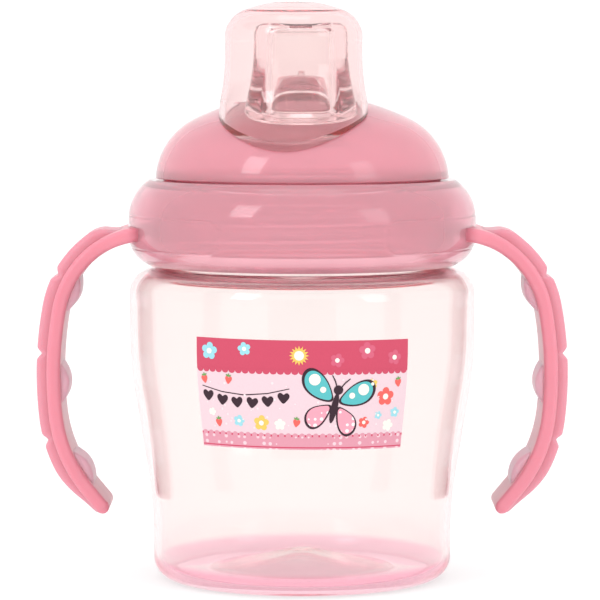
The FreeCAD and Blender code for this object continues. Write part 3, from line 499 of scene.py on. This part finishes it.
def oval(half_width, half_depth, count):
    """Points of a flat-sided oval."""
    out = []
    for i in range(count):
        a = 2 * math.pi * i / count
        c, s = math.cos(a), math.sin(a)
        out.append((half_width * math.copysign(abs(c) ** SQUARENESS, c),
                    half_depth * math.copysign(abs(s) ** SQUARENESS, s)))
    return out


def spout_mesh():
    bm = bmesh.new()
    count = 128
    rows = []
    for table, outside in ((SPOUT_OUTER, True), (SPOUT_INNER, False)):
        dense = []
        for (z0, w0, d0), (z1, w1, d1) in zip(table, table[1:]):
            steps = max(1, round(max(abs(z1 - z0), abs(w1 - w0)) / 0.5))
            dense += [(z0 + (z1 - z0) * k / steps, w0 + (w1 - w0) * k / steps, d0 + (d1 - d0) * k / steps)
                      for k in range(steps)]
        dense.append(table[-1])
        loops = []
        for z, w, d in dense:
            loop = []
            for x, y in oval(w, d, count):
                x, y = x + SPOUT_X, y + SPOUT_Y
                height = z
                if outside and FLARE_LOW < z < FLARE_HIGH:
                    floor = dome_z(math.hypot(x, y), 0.05)
                    share = 1 - smoothstep(FLARE_EDGE, FLARE_HIGH, z)
                    height = z + (floor - FLARE_EDGE) * share if z >= FLARE_EDGE else floor
                loop.append(bm.verts.new((x, y, height)))
            loops.append(loop)
        grid_faces(bm, loops, close_rings=False)
        rows.append(loops)
    outer, inner = rows
    for j in range(count):
        bm.faces.new((outer[0][j], outer[0][(j + 1) % count], inner[0][(j + 1) % count], inner[0][j]))
    dish, slot, well = ([bm.verts.new((SPOUT_X + x, SPOUT_Y + y, z)) for x, y in oval(w, d, count)]
                        for w, d, z in (DISH, SLOT, WELL))
    grid_faces(bm, [outer[-1], dish, slot, well, inner[-1]], close_rings=False)
    return bm


finish_mesh("soft_spout", spout_mesh(), "lid", ["spout"], SPOUT_SOFT)

# ---------------------------------------------------------------- hood
HOOD_X, HOOD_Y = -1.9, -14.8
HOOD_TOP, HOOD_HIGH, HOOD_WAIST, HOOD_MIDDLE, HOOD_FOOT = 131.0, 122.0, 119.5, 108.5, 94.0
HOOD_R, HOOD_MID_R, HOOD_LOW_R = 15.3, 16.5, 17.0
HOOD_FLARE, HOOD_WALL, HOOD_GAP = 52.0, 1.2, 0.35
HOOD_CORNER_IN, HOOD_CORNER_FALL, HOOD_CORNER_ROUND = 4.6, 1.8, 6.6
HOOD_CROWN_FLAT, HOOD_CROWN_FALL, HOOD_CROWN_ROUND = 4.5, 0.25, 26.0


def hood_points():
    corner, fall = HOOD_R - HOOD_CORNER_IN, HOOD_TOP - HOOD_CORNER_FALL
    inner, crown = HOOD_R - HOOD_WALL, HOOD_TOP - HOOD_CROWN_FALL
    rows = [
        (0.0, HOOD_TOP, None), (HOOD_CROWN_FLAT, crown, (HOOD_CROWN_ROUND, RIGHT)),
        (corner, fall, (HOOD_CORNER_ROUND, RIGHT)),
        (HOOD_R, HOOD_HIGH, None), (HOOD_R, HOOD_WAIST, (HOOD_FLARE, LEFT)), (HOOD_MID_R, HOOD_MIDDLE, None),
        (HOOD_LOW_R, HOOD_FOOT, None), (HOOD_LOW_R - HOOD_WALL, HOOD_FOOT, None),
        (HOOD_MID_R - HOOD_WALL, HOOD_MIDDLE, (HOOD_FLARE + HOOD_WALL, RIGHT)), (inner, HOOD_WAIST, None),
        (inner, HOOD_HIGH, (HOOD_CORNER_ROUND - HOOD_WALL, LEFT)),
        (corner - HOOD_WALL * 0.4, fall - HOOD_WALL * 0.95, (HOOD_CROWN_ROUND - HOOD_WALL, LEFT)),
        (HOOD_CROWN_FLAT, crown - HOOD_WALL, None), (0.0, HOOD_TOP - HOOD_WALL, None),
    ]
    return refined(rounded(outline(rows, 0.5), 0.3, sharp=12.0), 0.3)


def hood_radius(z):
    """Outside radius of the hood's skirt at a height."""
    if z > HOOD_WAIST:
        return HOOD_R
    if z > HOOD_MIDDLE:
        return HOOD_R + (HOOD_MID_R - HOOD_R) * ((HOOD_WAIST - z) / (HOOD_WAIST - HOOD_MIDDLE)) ** 2
    return HOOD_MID_R + (HOOD_LOW_R - HOOD_MID_R) * (HOOD_MIDDLE - z) / (HOOD_MIDDLE - HOOD_FOOT)


def hood_shape(angle, r, z):
    """Cuts the skirt off along the dome, by lifting what lies below the cut up to it."""
    for _ in range(3):
        x, y = HOOD_X + r * math.cos(angle), HOOD_Y + r * math.sin(angle)
        rim = dome_z(math.hypot(x, y), HOOD_GAP)
        if z >= rim or z > HOOD_WAIST:
            break
        r += hood_radius(rim) - hood_radius(z)
        z = rim
    return r, z


finish_mesh("clear_hood", lathe(hood_points(), 240, hood_shape, (HOOD_X, HOOD_Y)), "hood", ["hood"],
            HOOD_CLEAR)

# ---------------------------------------------------------------- handles
ARM_ROOT, ARM_HEIGHT, ARM_HEADING, ARM_TIP = 38.6, 78.78, 12.7, 5.3
ARM_TURNS = [(21.2, 66.5), (82.0, 17.3), (31.2, 33.2)]
HALF_THICK, ARM_WIDTH, ROOT_WIDTH = 1.6, 18.0, 30.0
ARM_LENGTH = sum(r * math.radians(t) for r, t in ARM_TURNS) + ARM_TIP
CROWN, PAD, BUMP = 1.1, 1.3, 1.8
PADS = [(3.0, 18.2, 5.0), (18.2, 35.3, 1.5), (35.3, 54.0, 1.5), (54.0, 73.5, 1.5)]
BUMPS = [20.8, 42.0, 63.0]
STRAP_START, STRAP_SINK = -1.0, 0.05
GRIP_HALF, GRIP_SINK = 7.5, 0.4
BUMP_HALF_WIDTH, BUMP_HALF_LENGTH, BUMP_DIP = 6.2, 5.2, 0.6


def arm_point(along, off):
    """Across and up of the left arm at a length along its middle line, off it towards the outside."""
    x, z, heading, left = -ARM_ROOT, ARM_HEIGHT, math.radians(ARM_HEADING), max(along, 0.0)
    for radius, turned in ARM_TURNS:
        part = min(left, radius * math.radians(turned))
        after = heading + part / radius
        x -= radius * (math.sin(after) - math.sin(heading))
        z += radius * (math.cos(after) - math.cos(heading))
        heading, left = after, left - part
        if left <= 1e-9:
            break
    left += min(along, 0.0)
    return (x - left * math.cos(heading) - off * math.sin(heading),
            z - left * math.sin(heading) + off * math.cos(heading))


def loop_section(half_width, low, high, edge, count=8):
    """A rounded rectangle as (across, off) points."""
    edge = min(edge, (high - low) * 0.49, half_width * 0.9)
    out = []
    for cx, cz, start in ((half_width - edge, high - edge, 0), (-half_width + edge, high - edge, 90),
                          (-half_width + edge, low + edge, 180), (half_width - edge, low + edge, 270)):
        for k in range(count + 1):
            a = math.radians(start + 90 * k / count)
            out.append((cx + edge * math.cos(a), cz + edge * math.sin(a)))
    return out


def sweep(stations, section, side):
    """A closed piece swept along an arm; section(along) gives its loop. side is -1 for the left arm."""
    bm = bmesh.new()
    loops = []
    for along in stations:
        loop = []
        for y, off in section(along):
            x, z = arm_point(along, off)
            if along <= STRAP_START:
                x = -math.sqrt((ring_radius(z) - STRAP_SINK) ** 2 - y * y)
            loop.append(bm.verts.new((-side * x, y, z)))
        loops.append(loop)
    grid_faces(bm, loops, close_rings=False)
    bm.faces.new(loops[0])
    bm.faces.new(loops[-1][::-1])
    return bm


def strap_section(along):
    """Strap: wide root that narrows, even thickness, round tip."""
    flare = (ROOT_WIDTH - ARM_WIDTH) / 2 * (1 - smoothstep(-1.0, 12.0, along)) ** 1.3
    over = along - ARM_LENGTH
    half = HALF_THICK
    if over > 0:
        half = math.sqrt(max(HALF_THICK ** 2 - over ** 2, 0.02))
    return loop_section(ARM_WIDTH / 2 + flare - max(over, 0.0) * 0.3, -half, half, 1.1)


def pad_height(along):
    """Height of the grip's outside above the strap: a raised back with four pads and soft notches."""
    ends = smoothstep(1.5, 6.0, along) * (1 - smoothstep(60.0, 74.0, along) * 0.8)
    pads = max(smoothstep(a - 0.4, a + lead, along) * (1 - smoothstep(b - 1.5, b + 0.4, along)) for a, b, lead in PADS)
    return ends * (CROWN + PAD * pads)


def bump_height(along):
    """Height of the finger bumps under the strap; negative between them, inside the strap."""
    best = -BUMP_DIP
    for middle in BUMPS:
        away = abs(along - middle) / BUMP_HALF_LENGTH
        if away < 1:
            best = max(best, -BUMP_DIP + (BUMP + BUMP_DIP) * (1 - away * away) ** 0.9)
    return best


def grip_section(along):
    top = HALF_THICK + pad_height(along)
    return loop_section(GRIP_HALF - 0.25 * (top - HALF_THICK), -HALF_THICK + GRIP_SINK, top, 1.3)


def bump_section(along):
    return loop_section(BUMP_HALF_WIDTH, -HALF_THICK - bump_height(along), 0.0, 1.6)


def span(start, end, step):
    count = math.ceil((end - start) / step)
    return [start + (end - start) * k / count for k in range(count + 1)]


for side, word in ((-1, "left"), (1, "right")):
    tip = [ARM_LENGTH + HALF_THICK * math.sin(math.radians(a)) for a in range(15, 90, 15)]
    strap = sweep([STRAP_START] + span(0.7, ARM_LENGTH, 0.7) + tip, strap_section, side)
    finish_mesh(f"strap_{word}", strap, "ring", [f"handle_{word}"], HANDLE_PINK)
    back = sweep(span(2.0, 73.0, 0.35), grip_section, side)
    finish_mesh(f"pads_{word}", back, "ring", [f"grip_{word}"], GRIP_PINK)
    # The finger bumps' colour carries painted light: it is lifted to cancel the strap's shade.
    for number, middle in enumerate(BUMPS, start=1):
        swelling = sweep(span(middle - 5.1, middle + 5.1, 0.3), bump_section, side)
        finish_mesh(f"finger_bump_{word}_{number}", swelling, "ring", [], BUMP_MAUVE_PAINTED_LIGHT)

# ---------------------------------------------------------------- small inner parts keep their CAD shape
for name, material in (("seal_ring", VALVE_SOFT), ("anti_spill_valve", VALVE_SOFT), ("vent_valve", VALVE_SOFT)):
    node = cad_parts[name]
    node.data.materials.clear()
    node.data.materials.append(material)

# ---------------------------------------------------------------- print
PRINT_LOW, PRINT_HIGH, PRINT_HALF = 33.4, 57.5, 24.2
BAND_LOW, LACE_HIGH = 50.6, 36.4
PRINT_TILT, PRINT_WRAP_R = 0.01, 38.6
INK_GAP, INK_LAYER = 0.05, 0.02
WING_SCALE = 1.5


def body_radius(z):
    """Outside radius of the beaker at a height in the printed part."""
    if z > BELLY_LOW:
        return BELLY_R
    if z > TAPER_HIGH:
        return BELLY_R - BELLY_ROUND + math.sqrt(BELLY_ROUND ** 2 - (BELLY_LOW - z) ** 2)
    return TAPER_LOW_R + (z - TAPER_LOW) * (TAPER_HIGH_R - TAPER_LOW_R) / (TAPER_HIGH - TAPER_LOW)


def decal(shapes, layer, name, material):
    """Flat shapes, each a list of (across, up) corners, laid on the beaker's front as a thin printed layer."""
    bm = bmesh.new()
    for shape in shapes:
        bm.faces.new([bm.verts.new((x, 0.0, z)) for x, z in shape])
    for x in range(-25, 26):
        everything = list(bm.verts) + list(bm.edges) + list(bm.faces)
        bmesh.ops.bisect_plane(bm, geom=everything, plane_co=(x, 0, 0), plane_no=(1, 0, 0))
    for z in range(34, 58, 2):
        everything = list(bm.verts) + list(bm.edges) + list(bm.faces)
        bmesh.ops.bisect_plane(bm, geom=everything, plane_co=(0, 0, z), plane_no=(0, 0, 1))
    bmesh.ops.triangulate(bm, faces=bm.faces)
    for vertex in bm.verts:
        vertex.co.z -= vertex.co.x * PRINT_TILT
        r = body_radius(vertex.co.z) + INK_GAP + INK_LAYER * layer
        angle = vertex.co.x / PRINT_WRAP_R
        vertex.co.x, vertex.co.y = r * math.sin(angle), -r * math.cos(angle)
    finish_mesh(name, bm, "cup", ["print_film"], material)


def disc(x, z, r, count=20, squash=1.0, turn=0.0):
    angles = [turn + 2 * math.pi * k / count for k in range(count)]
    return [(x + r * math.cos(a), z + r * squash * math.sin(a)) for a in angles]


def turned(shape, x, z, angle, scale=1.0):
    """A shape about its own origin, scaled, turned and moved to a place."""
    c, s = math.cos(angle) * scale, math.sin(angle) * scale
    return [(x + px * c - pz * s, z + px * s + pz * c) for px, pz in shape]


def rectangle(x0, x1, z0, z1):
    return [(x0, z0), (x1, z0), (x1, z1), (x0, z1)]


def petals(x, z, r, count, turn=0.0):
    """Round petals of a flower."""
    return [disc(x + r * 0.62 * math.cos(turn + 2 * math.pi * k / count),
                 z + r * 0.62 * math.sin(turn + 2 * math.pi * k / count), r * 0.42, 14) for k in range(count)]


HEART = [(0.0, -1.0), (0.55, -0.45), (0.95, 0.1), (0.98, 0.55), (0.7, 0.88), (0.3, 0.85), (0.0, 0.5),
         (-0.3, 0.85), (-0.7, 0.88), (-0.98, 0.55), (-0.95, 0.1), (-0.55, -0.45)]
LEAF = [(0.0, 0.0), (0.35, 0.25), (0.8, 0.3), (1.3, 0.0), (0.8, -0.3), (0.35, -0.25)]
UPPER_WING = [(0.2, 0.2), (0.9, 1.9), (2.2, 3.6), (3.9, 4.6), (5.2, 4.3), (5.7, 3.0), (5.2, 1.5), (3.9, 0.5),
              (2.0, 0.0)]
LOWER_WING = [(0.2, -0.1), (1.9, -0.5), (3.4, -1.2), (4.1, -2.4), (3.8, -3.8), (2.7, -4.5), (1.5, -3.9),
              (0.7, -2.4)]


def smooth_shape(shape, rounds=2):
    """Rounds a shape's corners by cutting them."""
    for _ in range(rounds):
        shape = [p for (ax, az), (bx, bz) in zip(shape, shape[1:] + shape[:1])
                 for p in ((ax * 0.75 + bx * 0.25, az * 0.75 + bz * 0.25),
                           (ax * 0.25 + bx * 0.75, az * 0.25 + bz * 0.75))]
    return shape


def mirrored(shape):
    return [(-x, z) for x, z in shape][::-1]


HEART, LEAF = smooth_shape(HEART), smooth_shape(LEAF)
UPPER_WING, LOWER_WING = smooth_shape(UPPER_WING), smooth_shape(LOWER_WING)

RASPBERRY = ink("ink_raspberry", (0.60, 0.07, 0.13))
ROSE = ink("ink_rose", (0.66, 0.12, 0.20))
FIELD = ink("ink_field", (0.80, 0.60, 0.65))
FIELD_PALE = ink("ink_field_pale", (0.86, 0.74, 0.76))
LACE = ink("ink_lace", (0.72, 0.31, 0.39), dots=(0.84, 0.60, 0.65))
LACE_LINE = ink("ink_lace_line", (0.62, 0.06, 0.13))
CREAM = ink("ink_cream", (0.93, 0.86, 0.78))
YELLOW = ink("ink_yellow", (0.86, 0.57, 0.12))
SKY = ink("ink_sky", (0.33, 0.68, 0.76))
TEAL = ink("ink_teal", (0.10, 0.50, 0.52))
CORAL = ink("ink_coral", (0.84, 0.13, 0.11))
PLUM = ink("ink_plum", (0.035, 0.012, 0.022))
GREEN = ink("ink_green", (0.16, 0.36, 0.10))
UNDERBASE = ink("ink_underbase", (0.95, 0.93, 0.93))
WING_PINK = ink("ink_wing_pink", (0.86, 0.36, 0.45), dots=(0.95, 0.85, 0.86))

chance = random.Random(7)
decal([rectangle(-PRINT_HALF, PRINT_HALF, PRINT_LOW, PRINT_HIGH)], -1, "print_underbase", UNDERBASE)
decal([rectangle(-PRINT_HALF, PRINT_HALF, LACE_HIGH, BAND_LOW)], 0, "print_field", FIELD)
decal([rectangle(-PRINT_HALF, PRINT_HALF, BAND_LOW, PRINT_HIGH)], 0, "print_band", RASPBERRY)
decal([rectangle(-PRINT_HALF, PRINT_HALF, PRINT_LOW, LACE_HIGH)], 0, "print_lace", LACE)
decal([rectangle(-PRINT_HALF, PRINT_HALF, LACE_HIGH - 0.15, LACE_HIGH + 0.3),
       rectangle(-PRINT_HALF, PRINT_HALF, PRINT_LOW + 0.35, PRINT_LOW + 0.6)], 1, "print_lace_lines", LACE_LINE)
scallops = [disc(-PRINT_HALF + 0.9 + 1.55 * k, BAND_LOW, 0.75, 16, 0.8) for k in range(31)]
decal(scallops, 1, "print_scallops", RASPBERRY)
decal([disc(-PRINT_HALF + 0.9 + 1.55 * k, LACE_HIGH + 0.1, 0.62, 14, 0.9) for k in range(31)], 1,
      "print_lace_scallops", LACE)

BAND_FLOWERS = [(-20.9, 54.6, 1.5, 0.2), (-12.6, 55.4, 1.15, 0.5), (7.5, 53.2, 1.2, 0.0), (14.2, 55.2, 1.5, 0.4),
                (20.7, 53.6, 1.3, 0.1)]
decal([p for x, z, r, t in BAND_FLOWERS[:2] for p in petals(x, z, r * 1.25, 5, t)], 1, "print_flowers_sky", SKY)
decal([p for x, z, r, t in BAND_FLOWERS[2:] for p in petals(x, z, r * 1.25, 5, t)], 1, "print_flowers_rose", ROSE)

RAYS = [turned([(1.35, -0.28), (2.15, 0.0), (1.35, 0.28)], -0.7, 54.2, 2 * math.pi * k / 16) for k in range(16)]
decal([disc(-0.7, 54.2, 1.45, 28)] + RAYS, 1, "print_sun", YELLOW)
decal([disc(-0.7, 54.2, 1.05, 24)], 2, "print_sun_face", CREAM)

BUTTERFLY = (7.2, 43.6, math.radians(-12))


def at_butterfly(shape):
    return turned(shape, *BUTTERFLY, WING_SCALE)


decal([at_butterfly(w) for w in (UPPER_WING, mirrored(UPPER_WING), LOWER_WING, mirrored(LOWER_WING))], 2,
      "print_wing_edges", PLUM)
decal([at_butterfly([(x * 0.86 + 0.35, z * 0.86 + 0.28) for x, z in UPPER_WING]),
       at_butterfly([(-x * 0.86 - 0.35, z * 0.86 + 0.28) for x, z in UPPER_WING][::-1])], 3,
      "print_upper_wings", TEAL)
decal([at_butterfly([(x * 0.84 + 0.35, z * 0.86 - 0.25) for x, z in LOWER_WING]),
       at_butterfly([(-x * 0.84 - 0.35, z * 0.86 - 0.25) for x, z in LOWER_WING][::-1])], 3,
      "print_lower_wings", WING_PINK)
decal([at_butterfly(disc(s * 3.7, 2.9, 0.85, 16)) for s in (-1, 1)]
      + [at_butterfly(disc(s * 2.2, 1.7, 0.45, 14)) for s in (-1, 1)], 4, "print_wing_spots", CREAM)
feelers = [at_butterfly([(0.05 * s, 2.2), (s * 0.7, 3.4), (s * 1.3, 4.1), (s * 1.4, 4.0), (s * 0.8, 3.2),
                         (s * 0.2, 2.1)][::s]) for s in (-1, 1)]
decal([at_butterfly(disc(0, -0.6, 0.5, 20, 4.6)), at_butterfly(disc(0, 2.1, 0.7, 18))] + feelers, 4,
      "print_butterfly_body", PLUM)

GARLAND = [(-21.6, 44.8), (-18.1, 44.0), (-14.6, 43.6), (-11.1, 43.6), (-7.6, 44.0), (-4.1, 44.8)]
decal([turned(HEART, x, z, math.radians(chance.uniform(-9, 9)), 1.35) for x, z in GARLAND], 2, "print_hearts", PLUM)
thread = [(-23.0, 47.0), (-18.1, 45.9), (-13.0, 45.4), (-7.6, 45.9), (-2.8, 47.0), (-2.8, 46.8), (-7.6, 45.65),
          (-13.0, 45.15), (-18.1, 45.65), (-23.0, 46.8)]
decal([thread[::-1]], 1, "print_garland_thread", PLUM)

BERRIES = [(-22.3, 48.3, 0.2), (-16.4, 48.4, -0.15), (-19.4, 38.8, 0.1), (21.9, 47.9, 0.15), (-1.3, 39.3, -0.2)]
decal([turned([(x * 0.85, z * 1.05) for x, z in HEART], x, z, t, 0.95) for x, z, t in BERRIES], 2, "print_berries",
      CORAL)
decal([turned(LEAF, x, z + 0.75, t + math.radians(a), 0.62) for x, z, t in BERRIES for a in (35, 90, 145)], 3,
      "print_berry_leaves", GREEN)

FIELD_FLOWERS = {
    "coral": [(18.9, 45.0, 1.6, 0.3), (14.0, 39.4, 1.0, 0.0)],
    "yellow": [(-9.2, 39.2, 1.35, 0.2), (15.6, 47.9, 0.9, 0.5)],
    "sky": [(-14.4, 39.5, 1.0, 0.1), (21.6, 41.4, 0.9, 0.2), (17.4, 40.9, 0.7, 0.0)],
    "cream": [(-5.0, 39.0, 1.0, 0.3), (20.0, 38.6, 1.05, 0.0), (-20.9, 41.2, 0.7, 0.0)],
}
FLOWER_INKS = {"coral": CORAL, "yellow": YELLOW, "sky": SKY, "cream": CREAM}
for word, flowers in FIELD_FLOWERS.items():
    decal([p for x, z, r, t in flowers for p in petals(x, z, r * 1.25, 5, t)], 1, f"print_flowers_{word}",
          FLOWER_INKS[word])
centres = [(x, z, r) for flowers in FIELD_FLOWERS.values() for x, z, r, _ in flowers]
decal([disc(x, z, r * 0.42, 14) for x, z, r in centres + [f[:3] for f in BAND_FLOWERS]], 3, "print_flower_eyes",
      CREAM)
decal([disc(chance.uniform(-23, 23), chance.uniform(38.0, 49.4), chance.uniform(0.16, 0.3), 10)
       for _ in range(60)], 1, "print_confetti", FIELD_PALE)

# ---------------------------------------------------------------- stage, light and camera
scene = bpy.context.scene
scene.view_settings.view_transform = "Standard"
scene.cycles.max_bounces = 48
scene.cycles.transmission_bounces = 40
scene.cycles.glossy_bounces = 32
scene.cycles.diffuse_bounces = 16
scene.cycles.transparent_max_bounces = 24


def studio_floor():
    bm = bmesh.new()
    bmesh.ops.create_grid(bm, x_segments=40, y_segments=40, size=30.0)
    mesh = bpy.data.meshes.new("studio_floor")
    bm.to_mesh(mesh)
    bm.free()
    floor = bpy.data.objects.new("studio_floor", mesh)
    scene.collection.objects.link(floor)
    material, tree, shader = node_material("paper_white")
    grain = noise(tree, 30.0)
    tree.links.new(tinted(tree, grain, (0.46, 0.46, 0.46), (0.48, 0.48, 0.48)), shader.inputs["Base Color"])
    shader.inputs["Roughness"].default_value = 0.9
    shader.inputs["Specular IOR Level"].default_value = 0.0
    shader.inputs["Emission Color"].default_value = (1, 1, 1, 1)
    shader.inputs["Emission Strength"].default_value = 0.62
    floor.data.materials.append(material)


def softbox(name, place, size, power, target=(0.0, 0.0, 0.07)):
    light = bpy.data.lights.new(name, "AREA")
    light.shape = "RECTANGLE"
    light.size, light.size_y = size
    light.energy = power
    lamp = bpy.data.objects.new(name, light)
    scene.collection.objects.link(lamp)
    lamp.location = place
    lamp.rotation_mode = "QUATERNION"
    lamp.rotation_quaternion = (Vector(target) - Vector(place)).to_track_quat("-Z", "Y")


studio_floor()
world = bpy.data.worlds.new("studio")
scene.world = world
world.use_nodes = True
world.node_tree.nodes["Background"].inputs["Color"].default_value = (1.0, 1.0, 1.0, 1)
world.node_tree.nodes["Background"].inputs["Strength"].default_value = 1.12
softbox("key", (-0.75, -0.85, 0.75), (0.35, 0.6), 2.2)
softbox("fill", (0.85, -0.7, 0.5), (0.35, 0.6), 0.9)
softbox("top", (0.0, -0.1, 1.1), (0.6, 0.4), 0.8)

camera = bpy.data.cameras.new("camera")
camera.lens, camera.sensor_width = 198.0, 36.0
camera_object = bpy.data.objects.new("camera", camera)
scene.collection.objects.link(camera_object)
camera_object.location = (-0.0005, -0.750, 0.1197)
camera_object.rotation_euler = (math.radians(90) - 0.0750, 0.0, 0.0)
scene.camera = camera_object
